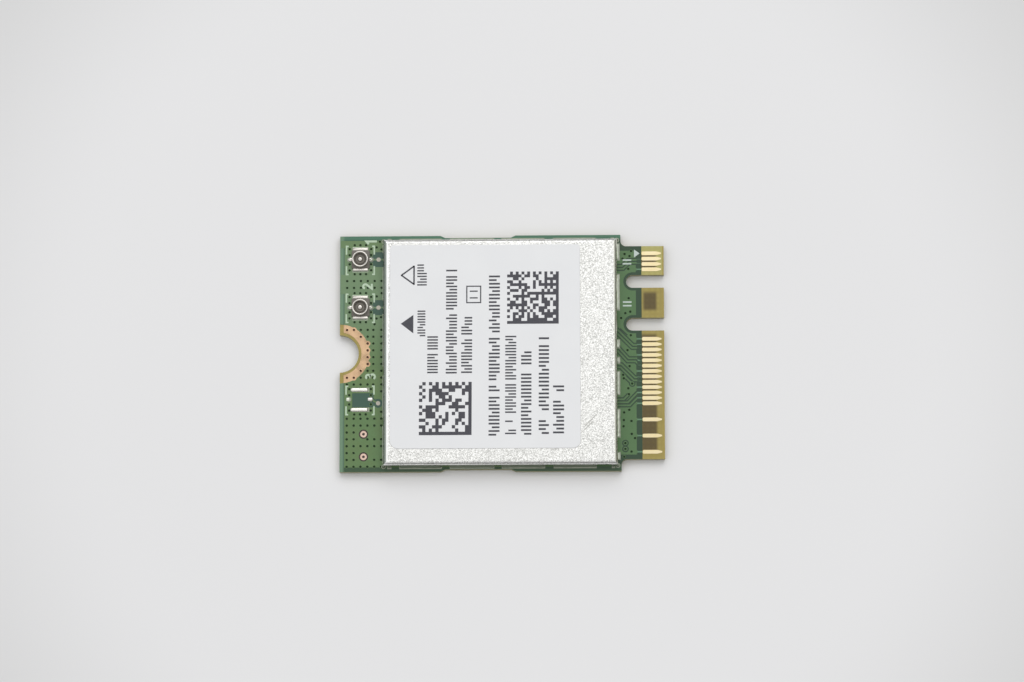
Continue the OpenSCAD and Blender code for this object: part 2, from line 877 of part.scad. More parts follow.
module receptacle_1_shell() { color("#e9e2d6") at_socket(0) socket_shell(); }
module receptacle_1_insulator() { color("#5a4f4a") at_socket(0) socket_insulator(); }
module receptacle_1_pin() { color("#efe9df") at_socket(0) socket_pin(); }
module receptacle_2_shell() { color("#e9e2d6") at_socket(1) socket_shell(); }
module receptacle_2_insulator() { color("#5a4f4a") at_socket(1) socket_insulator(); }
module receptacle_2_pin() { color("#efe9df") at_socket(1) socket_pin(); }

// Low mound of solder on a round land
module solder_dot(d, h) {
  r = (d * d / 4 + h * h) / (2 * h);
  translate([0, 0, h - r]) intersection() {
    sphere(r = r);
    translate([-d, -d, r - h]) cube([2 * d, 2 * d, 2 * h]);
  }
}

// Solder along a socket's foot, between it and the end of the land
module foot_solder() {
  translate([-foot_l / 2, foot_reach, 0]) solder_bead(foot_l, socket_land_y1 - foot_reach, foot_solder_h);
}

module receptacle_solder() {
  color("#dedbd0") for (i = [0, 1]) {
    at_socket(i) {
      foot_solder();
      mirror([0, 1, 0]) foot_solder();
      difference() {
        for (s = [-1, 1]) {
          translate([s * dot_x, 0, 0]) solder_dot(dot_d, dot_h);
        }
        socket_shell();
        socket_pin();
        translate([-block_l / 2, -block_w / 2, -cut]) cube([block_l, block_w, 2 * cut]);
      }
    }
  }
}

// Long mound of solder on an empty land, along X
module solder_bar(l, w, h) {
  r = (w * w / 4 + h * h) / (2 * h);
  translate([-l / 2, 0, 0]) rotate([90, 0, 90]) linear_extrude(l) intersection() {
    translate([0, h - r]) circle(r = r);
    translate([-w, 0]) square([2 * w, 2 * h]);
  }
}

module spare_socket_solder() {
  color("#dedbd0") translate([spare_x, spare_y, deck_z]) {
    for (s = [-1, 1]) {
      translate([0, s * spare_bar_y, 0]) solder_bar(spare_bar[0], spare_bar[1], spare_solder_h);
    }
    translate(spare_dots[1]) solder_dot(dot_d, spare_solder_h);
  }
}

module radio_chip() {
  mark_at = chip_s / 2 - chip_mark[0];
  color("#2b2c2e") translate([chip_pos[0], chip_pos[1], deck_z + stand_off]) difference() {
    linear_extrude(chip_h - stand_off) square(chip_s, center = true);
    translate([-mark_at, mark_at, chip_h - stand_off - mark_depth]) cylinder(d = chip_mark[1], h = cut);
  }
}

module radio_chip_leads() {
  color("#c9c6bb") translate([0, 0, deck_z]) linear_extrude(stand_off) chip_lead_plan();
}

module crystal_base() {
  color("#8d8577") translate([crystal_pos[0], crystal_pos[1], deck_z]) linear_extrude(crystal_h[0])
    round_rect(crystal_size[0], crystal_size[1], crystal_r);
}

module crystal_lid() {
  color("#d8d3c4") translate([crystal_pos[0], crystal_pos[1], deck_z + crystal_h[0]]) linear_extrude(crystal_h[1])
    round_rect(crystal_size[0] - 2 * crystal_rim, crystal_size[1] - 2 * crystal_rim, crystal_r);
}

module front_end(i) {
  mark_at = front_end_s / 2 - front_end_mark[0];
  color("#303134") translate([front_end_pos[i][0], front_end_pos[i][1], deck_z]) difference() {
    linear_extrude(front_end_h) square(front_end_s, center = true);
    translate([-mark_at, mark_at, front_end_h - mark_depth]) cylinder(d = front_end_mark[1], h = cut);
  }
}

module front_end_module_1() { front_end(0); }
module front_end_module_2() { front_end(1); }

module band_filters() {
  color("#d7cfbf") for (p = filter_pos) {
    translate([p[0], p[1], deck_z]) linear_extrude(filter_size[2])
      square([filter_size[0], filter_size[1]], center = true);
  }
}

// Body of a chip part between its two metal ends
module chip_body(size, end_l) {
  linear_extrude(size[2]) square([size[0] - 2 * end_l, size[1]], center = true);
}

module chip_ends(size, end_l) {
  linear_extrude(size[2]) end_pair(size, end_l);
}

module power_inductors() {
  color("#4a4a4d") for (p = inductor_pos) {
    translate([p[0], p[1], deck_z]) chip_body(inductor_size, inductor_end_l);
  }
}

module inductor_ends() {
  color("#cfccc2") for (p = inductor_pos) {
    translate([p[0], p[1], deck_z]) chip_ends(inductor_size, inductor_end_l);
  }
}

module capacitors() {
  color("#a58a63") translate([0, 0, deck_z]) at_rows(capacitor_rows) chip_body(capacitor_size, capacitor_end_l);
}

module capacitor_ends() {
  color("#cfccc2") translate([0, 0, deck_z]) at_rows(capacitor_rows) chip_ends(capacitor_size, capacitor_end_l);
}

module resistors() {
  color("#33343a") translate([0, 0, deck_z]) at_rows(resistor_rows) chip_body(resistor_size, resistor_end_l);
}

module resistor_ends() {
  color("#cfccc2") translate([0, 0, deck_z]) at_rows(resistor_rows) chip_ends(resistor_size, resistor_end_l);
}

module memory_chip() {
  color("#2f3033") translate([memory_pos[0], memory_pos[1], deck_z + stand_off])
    linear_extrude(memory_h) square(memory_size, center = true);
}

module memory_chip_leads() {
  color("#c9c6bb") translate([0, 0, deck_z]) linear_extrude(stand_off) memory_lead_plan();
}

circuit_board();
solder_mask_top();
solder_mask_bottom();
mount_pad_top();
mount_pad_bottom();
edge_contacts_top();
edge_contacts_bottom();
component_lands();
test_pads();
feed_test_points();
shield_can();
shield_solder();
shield_label();
receptacle_1_shell();
receptacle_1_insulator();
receptacle_1_pin();
receptacle_2_shell();
receptacle_2_insulator();
receptacle_2_pin();
receptacle_solder();
spare_socket_solder();
radio_chip();
radio_chip_leads();
crystal_base();
crystal_lid();
front_end_module_1();
front_end_module_2();
band_filters();
power_inductors();
inductor_ends();
capacitors();
capacitor_ends();
resistors();
resistor_ends();
memory_chip();
memory_chip_leads();
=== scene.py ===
# %% [markdown]
# # A plug-in wireless network card
#
# The real card is a green board of 22 x 30 mm. A folded tin can covers its radio parts and carries
# a white label. Two tiny coaxial sockets take the antenna leads, and gold contacts on a narrow
# tongue plug into a computer.
#
# The solids come from the CAD model and stay where they are. This lesson gives each of them its
# finish, and adds what is too fine for the solids: print, solder, via holes and turned rims.

# %% Load the card
import math

import bmesh
import bpy
from mathutils import Matrix, Vector, noise


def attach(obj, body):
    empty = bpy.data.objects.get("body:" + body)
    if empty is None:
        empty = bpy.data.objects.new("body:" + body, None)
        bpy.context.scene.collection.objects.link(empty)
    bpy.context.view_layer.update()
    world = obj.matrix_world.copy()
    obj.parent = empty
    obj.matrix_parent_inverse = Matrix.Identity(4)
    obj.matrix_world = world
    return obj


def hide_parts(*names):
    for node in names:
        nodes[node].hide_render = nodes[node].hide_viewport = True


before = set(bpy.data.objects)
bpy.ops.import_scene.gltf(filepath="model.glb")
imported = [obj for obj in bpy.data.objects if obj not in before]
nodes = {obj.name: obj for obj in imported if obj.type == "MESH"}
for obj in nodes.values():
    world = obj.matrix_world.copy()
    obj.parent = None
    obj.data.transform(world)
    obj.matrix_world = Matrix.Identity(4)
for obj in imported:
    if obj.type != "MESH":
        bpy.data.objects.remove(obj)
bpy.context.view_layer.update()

MM = 0.001

# %% [markdown]
# ## Camera
#
# The photograph looks almost straight down from the long side nearest to the viewer. Four corners
# and the rim of the can, whose height is known, give the tilt and the distance. A long lens keeps
# the edges nearly parallel, as they are in the photograph.

# %% Set the camera
FRAME_WIDTH = 1024
FOCAL_PIXELS = 4326
SENSOR = 36
DISTANCE = 400
aim = Vector((0.933, 1.122, 0.8)) * MM
turn = Matrix.Identity(3)
for degrees, axis in ((-0.12, "Z"), (1.5, "Y"), (8, "X")):
    turn = turn @ Matrix.Rotation(math.radians(degrees), 3, axis)
camera_data = bpy.data.cameras.new("camera")
camera_data.sensor_width = SENSOR
camera_data.lens = FOCAL_PIXELS * SENSOR / FRAME_WIDTH
camera_data.clip_start = 0.01
camera = bpy.data.objects.new("camera", camera_data)
camera.matrix_world = Matrix.Translation(aim + turn @ Vector((0, 0, DISTANCE * MM))) @ turn.to_4x4()
bpy.context.scene.collection.objects.link(camera)
bpy.context.scene.camera = camera
print("lens:", round(camera_data.lens, 1), "mm")

# %% [markdown]
# ## Helpers for materials
#
# A material is a small graph of nodes. One function adds any node, with its settings and its links,
# so each graph below reads as a list of what is added. Colours are written as on a screen, in sRGB,
# and turned to the linear values that light works in.


# %% Write the helpers
def colour(code):
    parts = [int(code[i:i + 2], 16) / 255 for i in (1, 3, 5)]
    linear = [p / 12.92 if p <= 0.04045 else ((p + 0.055) / 1.055) ** 2.4 for p in parts]
    return (*linear, 1)


def add(tree, kind, sockets=None, **settings):
    """Adds one node; each socket gets a value or a link, by name or number."""
    made = tree.nodes.new("ShaderNode" + kind)
    for name, value in settings.items():
        setattr(made, name, value)
    for key, value in (sockets or {}).items():
        if isinstance(value, bpy.types.NodeSocket):
            tree.links.new(value, made.inputs[key])
        else:
            made.inputs[key].default_value = value
    return made


def start(name, **shader):
    """A new material, with its graph, its shader and the place on the object in metres."""
    material = bpy.data.materials.new(name)
    material.use_nodes = True
    tree = material.node_tree
    surface = tree.nodes["Principled BSDF"]
    for socket, value in shader.items():
        surface.inputs[socket.replace("_", " ")].default_value = value
    place = add(tree, "TexCoord").outputs["Object"]
    return material, tree, surface, place


def grain(tree, place, size_mm, detail=2, stretch=(1, 1, 1)):
    """Noise whose spots are about this wide, from 0 to 1."""
    scaled = add(tree, "Mapping", {"Vector": place, "Scale": [s / (size_mm * MM) for s in stretch]})
    return add(tree, "TexNoise", {"Vector": scaled.outputs[0], "Scale": 1.0, "Detail": detail}).outputs[0]


def step(tree, value, low, high):
    """Rises smoothly from 0 at low to 1 at high; falls if low is the greater."""
    return add(tree, "MapRange", {0: value, 1: low, 2: high}, interpolation_type="SMOOTHSTEP").outputs[0]


def inside(tree, value, low, high, soft):
    """1 between low and high, all in millimetres, with soft edges."""
    up = step(tree, value, (low - soft) * MM, (low + soft) * MM)
    down = step(tree, value, (high + soft) * MM, (high - soft) * MM)
    return add(tree, "Math", {0: up, 1: down}, operation="MULTIPLY").outputs[0]


def mix(tree, share, first, second):
    """Colour that goes from the first to the second as share goes from 0 to 1."""
    ends = [colour(c) if isinstance(c, str) else c for c in (first, second)]
    return add(tree, "Mix", {0: share, 6: ends[0], 7: ends[1]}, data_type="RGBA").outputs[2]


def relief(tree, surface, height, depth_mm, strength=1.0):
    """Bump whose heights are real ones."""
    bump = add(tree, "Bump", {"Strength": strength, "Distance": depth_mm * MM, "Height": height})
    tree.links.new(bump.outputs[0], surface.inputs["Normal"])


def dress(material, slot, *names):
    """Puts a finish on CAD nodes that keep their own shape."""
    for name in names:
        data = nodes[name].data
        data.materials.clear()
        data.materials.append(material)


# %% [markdown]
# ## Laminate
#
# The board is FR-4: woven glass cloth in yellow-green epoxy, pressed and then routed to its
# outline. It shows bare at the tongue and round the screw notch. It lets light through, so the
# contacts on the underside show as a brown shade. That shade is worked out from their real places,
# with soft edges, which is cheaper and cleaner than tracing light through the board.

# %% Make the laminate
UNDER_TIP_X = 14.3
# At a scale of 1 the bands of the wave pattern repeat every 0.31 m
WAVE_REPEAT = 0.31
THREAD = 0.5 * MM
# Lowest and highest y of each group of contacts on the underside, and the x where it starts
under_groups = [(7.83, 9.17, 12.85), (3.95, 5.6, 13.1), (-9.17, 1.67, 12.85)]

laminate, tree, surface, place = start("fr4_laminate", Roughness=0.42, IOR=1.55)
xyz = add(tree, "SeparateXYZ", {0: place}).outputs
facing = add(tree, "SeparateXYZ", {0: add(tree, "NewGeometry").outputs["Normal"]}).outputs[2]
weave = {"Vector": place, "Scale": WAVE_REPEAT / THREAD, "Distortion": 0.6}
warp = add(tree, "TexWave", weave, bands_direction="X").outputs[1]
weft = add(tree, "TexWave", weave, bands_direction="Y").outputs[1]
cloth = add(tree, "Math", {0: warp, 1: weft}, operation="MULTIPLY").outputs[0]
bare = mix(tree, cloth, "#8C7D2E", "#948633")
bare = mix(tree, grain(tree, place, 1.2), bare, mix(tree, cloth, "#9D8D48", "#A3934D"))
bare = mix(tree, step(tree, xyz[1], 6 * MM, 8 * MM), bare, mix(tree, cloth, "#A6A05A", "#ADA862"))
shade = None
for low, high, near in under_groups:
    across = inside(tree, xyz[1], low, high, 0.22)
    along = inside(tree, xyz[0], near, UNDER_TIP_X, 0.18)
    group = add(tree, "Math", {0: across, 1: along}, operation="MULTIPLY").outputs[0]
    shade = group if shade is None else add(tree, "Math", {0: shade, 1: group}, operation="ADD").outputs[0]
bare = mix(tree, shade, bare, mix(tree, cloth, "#514100", "#564702"))
tip = step(tree, xyz[0], 14.78 * MM, 14.95 * MM)
bare = mix(tree, tip, bare, "#9A883A")
# Under the film the only laminate in view is the bottom of a via or a clearance ring; it is painted dark
# brown, as painted shade in these recesses
notch = (-15 * MM, 0, 0.8 * MM)
from_notch = add(tree, "VectorMath", {0: place, 1: notch}, operation="DISTANCE").outputs["Value"]
past_pad = step(tree, from_notch, 2.74 * MM, 2.76 * MM)
before_contacts = step(tree, xyz[0], 12.84 * MM, 12.8 * MM)
covered = add(tree, "Math", {0: past_pad, 1: before_contacts}, operation="MULTIPLY").outputs[0]
flat = mix(tree, covered, bare, "#33251C")
# Routed edges show cut fibres in thin level layers
layers = grain(tree, place, 0.5, 3, (1, 1, 6))
edge = mix(tree, layers, "#7A7448", "#A59C68")
side = add(tree, "Math", {0: facing}, operation="ABSOLUTE").outputs[0]
tree.links.new(mix(tree, step(tree, side, 0.4, 0.6), edge, flat), surface.inputs["Base Color"])
relief(tree, surface, add(tree, "Math", {0: cloth, 1: layers}, operation="ADD").outputs[0], 0.008, 0.5)
dress(laminate, "laminate", "circuit_board")
print("laminate, brown behind", len(under_groups), "groups of contacts")

# %% [markdown]
# ## Solder mask
#
# The green coat is a liquid epoxy film, printed by light and baked. It looks lighter over copper,
# which throws light back through it, and darker over bare laminate. The copper also lifts the film
# by 0.02 mm, and the solids have that step, so height alone tells the shader which green to use.
# Along the routed edge light gets in from the side and the film looks paler, least on the near side.

# %% Make the solder mask
mask, tree, surface, place = start("liquid_photo_solder_mask", Roughness=0.33, IOR=1.52)
xyz = add(tree, "SeparateXYZ", {0: place}).outputs
over_copper = step(tree, xyz[2], 0.838 * MM, 0.842 * MM)
drift = grain(tree, place, 2.6, 3)
lit = mix(tree, step(tree, drift, 0.3, 0.7), "#536F3F", "#627441")
lit = mix(tree, grain(tree, place, 0.35, 4), lit, "#597B4B")
# The film is a little lighter round the first two sockets and darker towards the contacts
lit = mix(tree, inside(tree, xyz[1], 1.5, 9.5, 3), lit, mix(tree, drift, "#64805A", "#6E8763"))
lit = mix(tree, step(tree, xyz[0], 0, 11 * MM), lit, mix(tree, drift, "#43683B", "#557648"))
# Between the pour and the contacts only a thin track runs in the copper, so the film stays dark
apron = step(tree, xyz[0], 12.46 * MM, 12.52 * MM)
half_pitch = 0.25 * MM
from_first = add(tree, "Math", {0: xyz[1], 1: half_pitch}, operation="SUBTRACT").outputs[0]
from_contact = add(tree, "Math", {0: from_first, 1: half_pitch}, operation="PINGPONG").outputs[0]
track = mix(tree, step(tree, from_contact, 0.08 * MM, 0.04 * MM), "#254529", "#5C8263")
lit = mix(tree, apron, lit, track)
rim_x = step(tree, xyz[0], -14.5 * MM, -14.8 * MM)
rim_y = step(tree, xyz[1], 10.5 * MM, 10.8 * MM)
dark = mix(tree, step(tree, xyz[0], 0, 11 * MM), "#315343", "#1E3E23")
dark = mix(tree, step(tree, xyz[1], -10.4 * MM, -10.6 * MM), dark, "#2C4A2C")
dark = mix(tree, rim_y, dark, "#416F55")
dark = mix(tree, rim_x, dark, "#658468")
under = step(tree, xyz[2], 0.05 * MM, 0.04 * MM)
both = add(tree, "Math", {0: over_copper, 1: under}, operation="MAXIMUM").outputs[0]
tree.links.new(mix(tree, both, dark, lit), surface.inputs["Base Color"])
relief(tree, surface, grain(tree, place, 0.45, 2), 0.004, 0.5)
dress(mask, "solder_mask", "solder_mask_top", "solder_mask_bottom")

# %% [markdown]
# ## Plated and bare metal
#
# Four metals meet on the board. The half ring at the notch and the test rings are bare copper under
# a clear organic coat, so they stay pinkish and matt. The contacts have hard gold over nickel. The
# lands are tinned. All of them are metals to the shader, with the colour in the reflection, and
# grain that follows how each one was made.

# %% Make the metals of the board
copper, tree, surface, place = start("bare_copper_with_organic_coat", Metallic=1.0, Roughness=0.5)
spots = grain(tree, place, 0.25, 3)
tree.links.new(mix(tree, spots, "#C3A47F", "#D2B190"), surface.inputs["Base Color"])
tree.links.new(step(tree, grain(tree, place, 0.9, 3), -0.3, 1.9), surface.inputs["Roughness"])
relief(tree, surface, grain(tree, place, 0.06, 2), 0.003, 0.4)
dress(copper, "bare_copper", "mount_pad_top", "mount_pad_bottom")

fresh, tree, surface, place = start("fresh_copper_test_ring", Metallic=1.0, Roughness=0.45)
tree.links.new(mix(tree, grain(tree, place, 0.2, 3), "#C4A897", "#DAC1B2"), surface.inputs["Base Color"])
relief(tree, surface, grain(tree, place, 0.06, 2), 0.003, 0.4)
dress(fresh, "bare_copper", "test_pads")

gold, tree, surface, place = start("hard_gold_plating", Metallic=1.0, Roughness=0.3)
wear = grain(tree, place, 0.5, 3, (0.4, 1, 1))
tree.links.new(mix(tree, wear, "#E3CF93", "#EFE3C2"), surface.inputs["Base Color"])
# Insertion marks run along the contacts
relief(tree, surface, grain(tree, place, 0.05, 2, (0.1, 1, 1)), 0.002, 0.3)
dress(gold, "gold_plating", "edge_contacts_top", "edge_contacts_bottom")

tinned, tree, surface, place = start("tinned_copper_land", Metallic=1.0, Roughness=0.4)
# The lands are a dull greenish grey
tree.links.new(mix(tree, grain(tree, place, 0.15, 3), "#7C8274", "#A0A494"), surface.inputs["Base Color"])
relief(tree, surface, grain(tree, place, 0.12, 3), 0.006, 0.5)
dress(tinned, "tinned_copper", "component_lands")

dull, tree, surface, place = start("dull_solder_dot", Metallic=1.0, Roughness=0.5)
tree.links.new(mix(tree, grain(tree, place, 0.12, 3), "#9A968A", "#B9B5AA"), surface.inputs["Base Color"])
relief(tree, surface, grain(tree, place, 0.1, 3), 0.006, 0.5)
dress(dull, "tinned_copper", "feed_test_points")

solder, tree, surface, place = start("reflowed_solder", Metallic=1.0, Roughness=0.28)
tree.links.new(mix(tree, grain(tree, place, 0.2, 3), "#C9C7BF", "#F2F0E8"), surface.inputs["Base Color"])
tree.links.new(step(tree, grain(tree, place, 0.3, 2), -0.4, 2.2), surface.inputs["Roughness"])
relief(tree, surface, grain(tree, place, 0.18, 3), 0.02, 0.5)
dress(solder, "solder", "shield_solder", "spare_socket_solder")

matt_solder, tree, surface, place = start("slow_cooled_solder", Metallic=1.0, Roughness=0.5)
even = mix(tree, grain(tree, place, 0.4, 3), "#B8BFAE", "#DFE4D7")
# Along the two long walls the solder is painted darker and greenish, as painted shade
across = add(tree, "SeparateXYZ", {0: place}).outputs[1]
off_middle = add(tree, "Math", {0: across}, operation="ABSOLUTE").outputs[0]
long_wall_shade = step(tree, off_middle, 10.42 * MM, 10.48 * MM)
tree.links.new(mix(tree, long_wall_shade, even, "#7C8574"), surface.inputs["Base Color"])
relief(tree, surface, grain(tree, place, 0.2, 2), 0.01, 0.4)
dress(matt_solder, "solder", "receptacle_solder")

# %% [markdown]
# ## Tinned sheet of the can
#
# The can is folded from thin steel sheet with a matt tin coat. Matt tin is a pavement of fine
# crystals that each reflect a little differently, which the photograph shows as speckle. Cells of a
# Voronoi pattern give the crystals and fine noise gives the pits. Near one corner the real can has
# two faint slanting scratches.

# %% Make the tinned sheet
CRYSTAL = 0.075 * MM

sheet, tree, surface, place = start("matt_tinned_steel_sheet", Metallic=1.0, Roughness=0.45)
xyz = add(tree, "SeparateXYZ", {0: place}).outputs
cells = {"Vector": place, "Scale": 1 / CRYSTAL}
crystals = add(tree, "TexVoronoi", cells, feature="F1").outputs["Color"]
tone = add(tree, "SeparateXYZ", {0: crystals}).outputs[0]
pits = grain(tree, place, 0.09, 2)
cloudy = add(tree, "Math", {0: tone, 1: 0.6, 2: pits}, operation="MULTIPLY_ADD").outputs[0]
speckle = step(tree, cloudy, 0.35, 1.2)
tin = mix(tree, speckle, "#AFAFAB", "#F3F3F0")
# Two scratches: short slanting lines, found by their distance from a line at 45 degrees
slant = add(tree, "Math", {0: xyz[0], 1: xyz[1]}, operation="SUBTRACT").outputs[0]
along = add(tree, "Math", {0: xyz[0], 1: xyz[1]}, operation="ADD").outputs[0]
scratches = None
for offset, low, high in ((14.62, 0.5, 2.9), (14.95, 0.2, 1.9)):
    width = inside(tree, slant, offset - 0.05, offset + 0.05, 0.04)
    reach = inside(tree, along, low, high, 0.3)
    line = add(tree, "Math", {0: width, 1: reach}, operation="MULTIPLY").outputs[0]
    if scratches is None:
        scratches = line
    else:
        scratches = add(tree, "Math", {0: scratches, 1: line}, operation="MAXIMUM").outputs[0]
tin = mix(tree, scratches, tin, "#A3A29D")
# The strip beside the label, where the left fold begins, is painted near-white without speckle: a painted
# highlight
tin = mix(tree, step(tree, xyz[0], -10.35 * MM, -10.6 * MM), tin, "#EFEFEE")
# The folds at the two ends are painted darker than the flat tin by the way they face: painted shade,
# greenish on the left
normal = add(tree, "SeparateXYZ", {0: add(tree, "NewGeometry").outputs["Normal"]}).outputs
tin = mix(tree, step(tree, normal[0], 0.1, 0.4), tin, "#D0D2C4")
tin = mix(tree, step(tree, normal[0], -0.04, -0.3), tin, "#9DA59A")
tree.links.new(tin, surface.inputs["Base Color"])
# Along the folds the tin was rolled smooth by the tool, so the walls reflect more sharply
upright = step(tree, add(tree, "Math", {0: normal[2]}, operation="ABSOLUTE").outputs[0], 0.99, 0.7)
matt = add(tree, "MapRange", {0: speckle, 3: 0.55, 4: 0.4}).outputs[0]
tree.links.new(add(tree, "Mix", {0: upright, 2: matt, 3: 0.14}).outputs[0], surface.inputs["Roughness"])
relief(tree, surface, cloudy, 0.012, 0.45)
dress(sheet, "tinned_sheet", "shield_can")
print("tinned sheet, crystals of", round(CRYSTAL / MM, 3), "mm")

# %% [markdown]
# ## Label film, inks and moulded parts
#
# The label is white polyester film with a faint tooth that holds thermal print. The legend on the
# board is screen-printed epoxy ink, pale with a trace of the green below. A via under the film is
# plugged, and the plug is painted nearly black: the dark film over the hole together with painted
# shade down the hole. In the bare pad the copper of the holes has tarnished.
# The sockets have a moulded body of liquid crystal polymer, dark and fine-grained, and plated brass
# contacts.

# %% Make the label, the inks and the socket finishes
film, tree, surface, place = start("white_polyester_label", Roughness=0.5, IOR=1.5)
tree.links.new(mix(tree, grain(tree, place, 3.0, 4), "#DFE0E1", "#E6E7E7"), surface.inputs["Base Color"])
relief(tree, surface, grain(tree, place, 0.2, 4), 0.004, 0.4)

ink, tree, surface, place = start("thermal_print", Roughness=0.5, IOR=1.45)
tree.links.new(mix(tree, grain(tree, place, 0.12, 3), "#35353B", "#4C4C53"), surface.inputs["Base Color"])
relief(tree, surface, grain(tree, place, 0.1, 2), 0.002, 0.3)

legend, tree, surface, place = start("screen_printed_legend", Roughness=0.55, IOR=1.5)
pale = mix(tree, grain(tree, place, 0.25, 4), "#ABBDB2", "#CBD4D0")
# The legend left of the middle of the board is greener
left_half = step(tree, add(tree, "SeparateXYZ", {0: place}).outputs[0], 0, -MM)
tree.links.new(mix(tree, left_half, pale, "#B4C8AE"), surface.inputs["Base Color"])
relief(tree, surface, grain(tree, place, 0.08, 3), 0.004, 0.5)

# The plug is painted nearly black: dark film over the hole, with painted shade down the hole
well, tree, surface, place = start("plugged_via", Roughness=0.6, IOR=1.52, Specular_IOR_Level=0.2)
tree.links.new(mix(tree, grain(tree, place, 0.1, 3), "#12260F", "#22381C"), surface.inputs["Base Color"])
relief(tree, surface, grain(tree, place, 0.05, 2), 0.003, 0.4)

tarnish, tree, surface, place = start("tarnished_copper_hole", Roughness=0.6, IOR=1.52,
                                      Specular_IOR_Level=0.2)
tree.links.new(mix(tree, grain(tree, place, 0.1, 3), "#3A2018", "#5A382A"), surface.inputs["Base Color"])
relief(tree, surface, grain(tree, place, 0.05, 2), 0.003, 0.4)

brass, tree, surface, place = start("plated_brass", Metallic=1.0, Roughness=0.27)
tree.links.new(mix(tree, grain(tree, place, 0.2, 3), "#C3BFB8", "#DAD6CE"), surface.inputs["Base Color"])
relief(tree, surface, grain(tree, place, 0.08, 2, (1, 1, 0.3)), 0.002, 0.3)

polymer, tree, surface, place = start("liquid_crystal_polymer", Roughness=0.5, IOR=1.6)
tree.links.new(mix(tree, grain(tree, place, 0.15, 3), "#544F47", "#6E695F"), surface.inputs["Base Color"])
relief(tree, surface, grain(tree, place, 0.06, 3), 0.003, 0.4)

# %% [markdown]
# ## Parts under the can
#
# Nobody sees these while the can is on, but they are there and the can may be lifted. Moulded chips
# are black epoxy, the crystal has a ceramic tray and a nickel lid, and the small chips are ceramic
# or ferrite with tinned ends.

# %% Dress the hidden parts
chip_resin, tree, surface, place = start("black_moulding_compound", Roughness=0.6, IOR=1.5)
tree.links.new(mix(tree, grain(tree, place, 0.1, 3), "#252628", "#36373A"), surface.inputs["Base Color"])
relief(tree, surface, grain(tree, place, 0.06, 3), 0.004, 0.5)
dress(chip_resin, "chip_moulding", "radio_chip", "front_end_module_1", "front_end_module_2", "memory_chip")

ceramic, tree, surface, place = start("fired_ceramic", Roughness=0.45, IOR=1.6)
tree.links.new(mix(tree, grain(tree, place, 0.15, 3), "#A08563", "#C0A683"), surface.inputs["Base Color"])
relief(tree, surface, grain(tree, place, 0.08, 3), 0.004, 0.5)
dress(ceramic, "chip_ceramic", "capacitors", "band_filters", "crystal_base")

ferrite, tree, surface, place = start("pressed_ferrite", Roughness=0.7, IOR=1.6)
tree.links.new(mix(tree, grain(tree, place, 0.1, 3), "#3B3B3E", "#505054"), surface.inputs["Base Color"])
relief(tree, surface, grain(tree, place, 0.06, 3), 0.006, 0.5)
dress(ferrite, "ferrite", "power_inductors", "resistors")

nickel, tree, surface, place = start("nickel_plated_lid", Metallic=1.0, Roughness=0.3)
tree.links.new(mix(tree, grain(tree, place, 0.3, 3), "#C8C3B2", "#DEDACB"), surface.inputs["Base Color"])
relief(tree, surface, grain(tree, place, 0.1, 2, (1, 0.2, 1)), 0.002, 0.4)
dress(nickel, "crystal_metal", "crystal_lid")
dress(tinned, "tinned_copper", "radio_chip_leads", "memory_chip_leads", "inductor_ends", "capacitor_ends",
      "resistor_ends")

# %% [markdown]
# ## Helpers for shapes
#
# Each shape is a list of points in millimetres and a list of faces. Shapes are joined into one mesh
# per piece, put in the card's own frame and tied to its one body.


# %% Write the shape helpers
def piece(name, shapes, material, smooth=False, replaces=()):
    points, faces = [], []
    for shape_points, shape_faces in shapes:
        base = len(points)
        points += [[v * MM for v in p] for p in shape_points]
        faces += [[base + i for i in face] for face in shape_faces]
    mesh = bpy.data.meshes.new(name)
    mesh.from_pydata(points, [], faces)
    mesh.update()
    mesh.materials.append(material)
    made = bpy.data.objects.new(name, mesh)
    bpy.context.scene.collection.objects.link(made)
    if smooth:
        mesh.shade_smooth()
        mesh.set_sharp_from_angle(angle=math.radians(38))
    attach(made, "root")
    if replaces:
        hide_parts(*replaces)
    print(name, "-", len(faces), "faces")
    return made


def prism(outline, low, high):
    """Straight solid on an outline drawn anticlockwise."""
    n = len(outline)
    points = [(*p, low) for p in outline] + [(*p, high) for p in outline]
    faces = [list(range(n))[::-1], list(range(n, 2 * n))]
    faces += [[i, (i + 1) % n, n + (i + 1) % n, n + i] for i in range(n)]
    return points, faces


def rectangle(x0, x1, y0, y1):
    return [(x0, y0), (x1, y0), (x1, y1), (x0, y1)]


def turned(profile, centre, steps=64, closed=True):
    """Profile of (radius, height) turned round an upright axis; an open one ends in a flat cap."""
    points = []
    for r, z in profile:
        for i in range(steps):
            a = 2 * math.pi * i / steps
            points.append((centre[0] + r * math.cos(a), centre[1] + r * math.sin(a), z))
    faces = []
    rows = len(profile)
    for j in range(rows if closed else rows - 1):
        k = (j + 1) % rows
        for i in range(steps):
            n = (i + 1) % steps
            faces.append([j * steps + i, j * steps + n, k * steps + n, k * steps + i])
    if not closed:
        faces.append([(rows - 1) * steps + i for i in range(steps)])
        faces.append([i for i in range(steps)][::-1])
    return points, faces


def block(x0, x1, y0, y1, z0, z1, bevel):
    """Box with rounded edges, as a bent or moulded part has."""
    made = bmesh.new()
    bmesh.ops.create_cube(made, size=1.0)
    for v in made.verts:
        v.co = Vector((x0 if v.co.x < 0 else x1, y0 if v.co.y < 0 else y1, z0 if v.co.z < 0 else z1))
    bmesh.ops.bevel(made, geom=made.edges[:], offset=bevel, segments=2, affect="EDGES", profile=0.5)
    made.verts.index_update()
    points = [tuple(v.co) for v in made.verts]
    faces = [[v.index for v in f.verts] for f in made.faces]
    made.free()
    return points, faces


